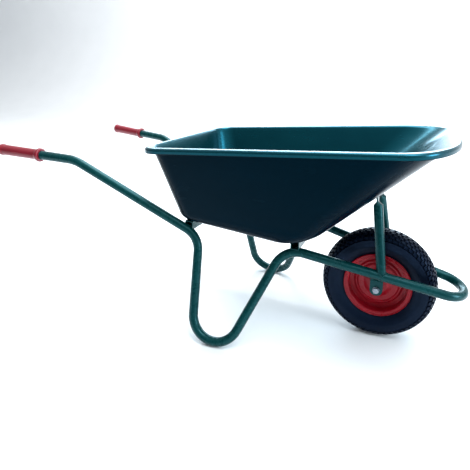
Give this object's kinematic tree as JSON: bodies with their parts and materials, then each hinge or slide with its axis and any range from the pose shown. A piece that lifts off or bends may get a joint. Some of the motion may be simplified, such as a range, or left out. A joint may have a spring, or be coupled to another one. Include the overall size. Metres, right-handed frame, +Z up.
{
  "type": "wheelbarrow",
  "caption": "Single-wheel wheelbarrow: deep moulded tray on a bent tube frame with leg loops, nose guard, hand grips and a pneumatic tyred wheel on a fixed axle bolt.",
  "frame": {"origin": "on the ground under the middle of the barrow's overall box", "axes": "+X forward towards the wheel, +Y to the pusher's left, +Z up; stands on its tyre and both leg loops"},
  "size_m": [1.6457, 0.6434, 0.7329],
  "materials": {
    "green_paint": "gloss dark green paint over tube",
    "tray_plastic": "semi-gloss moulded, dark blue-green",
    "grip_plastic": "soft gloss red",
    "tyre_rubber": "matt black with block tread",
    "tube_rubber": "matt black",
    "rim_paint": "gloss red paint on pressed sheet",
    "zinc": "bright zinc plated",
    "bearing_steel": "ground steel",
    "valve_brass": "plain",
    "cap_plastic": "matt black"
  },
  "bodies": {
    "frame": {"main_tube": "green_paint", "front_strut_left": "green_paint", "front_strut_right": "green_paint", "rear_crossbar": "green_paint", "front_crossbar": "green_paint", "tray_lug_left": "green_paint", "tray_lug_right": "green_paint", "axle_bracket_left": "green_paint", "axle_bracket_right": "green_paint", "tray": "tray_plastic", "tray_bolts": "zinc", "tray_washers": "zinc", "tray_nuts": "zinc", "grip_left": "grip_plastic", "grip_right": "grip_plastic", "axle_bolt": "zinc", "axle_nut": "zinc", "axle_washers": "zinc", "axle_spacer_left": "zinc", "axle_spacer_right": "zinc", "bearing_spacer": "zinc"},
    "wheel": {"tyre": "tyre_rubber", "inner_tube": "tube_rubber", "rim_left": "rim_paint", "rim_right": "rim_paint", "hub": "rim_paint", "bearing_left": "bearing_steel", "bearing_right": "bearing_steel", "valve_stem": "valve_brass", "valve_cap": "cap_plastic"}
  },
  "joints": [
    {"name": "wheel_spin", "type": "hinge", "parent": "frame", "child": "wheel", "pos_m": [0.52736, 0, 0.2], "axis": [0, 1, 0], "continuous": true}
  ]
}
